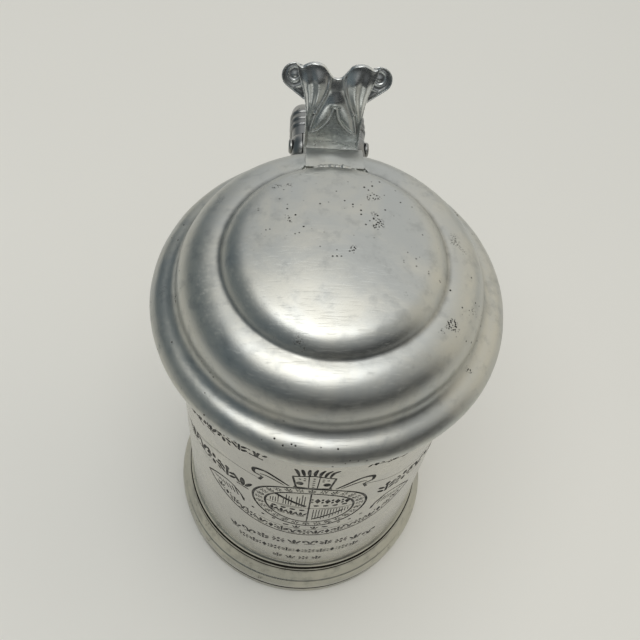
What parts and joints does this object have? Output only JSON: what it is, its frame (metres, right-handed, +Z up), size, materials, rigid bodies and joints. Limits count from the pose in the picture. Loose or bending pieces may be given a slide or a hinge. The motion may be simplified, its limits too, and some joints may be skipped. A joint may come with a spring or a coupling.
{
  "type": "lidded tankard",
  "caption": "Pewter quart tankard with a tapered engraved drum, moulded foot, double-domed hinged lid, scroll thumbpiece and hollow handle.",
  "frame": {"origin": "centre of the foot's resting face", "axes": "+Z up through the drum, +Y towards the handle, -Y towards the engraved front"},
  "size_m": [0.1134, 0.1559, 0.2141],
  "materials": {
    "drum_pewter": "bright satin, engraved and filled black",
    "body_pewter": "satin",
    "inner_pewter": "turned, dull",
    "foot_pewter": "satin, dark in the grooves",
    "handle_pewter": "worn satin",
    "pin_metal": "worn",
    "lid_pewter": "soft satin with fine scratches and pits",
    "cast_pewter": "cast, polished on its high points"
  },
  "bodies": {
    "vessel": {"drum": "drum_pewter", "floor_disc": "inner_pewter", "lip_band": "body_pewter", "foot_ring": "foot_pewter", "foot_moulding": "foot_pewter", "upper_handle_plate": "body_pewter", "lower_handle_plate": "body_pewter", "lower_strut": "body_pewter", "hinge_bracket": "handle_pewter", "handle_half_left": "handle_pewter", "handle_half_right": "handle_pewter", "shoulder_reeds": "handle_pewter", "tail_boss": "handle_pewter", "hinge_pin": "pin_metal", "pin_cap_left": "pin_metal", "pin_cap_right": "pin_metal"},
    "lid": {"lid_shell": "lid_pewter", "lid_seat": "inner_pewter", "hinge_tongue": "cast_pewter", "thumbpiece": "cast_pewter"}
  },
  "joints": [
    {"name": "lid_hinge", "type": "hinge", "parent": "vessel", "child": "lid", "pos_m": [0, 0.0613, 0.173], "axis": [-1, 0, 0], "range_deg": [0, 95]}
  ]
}
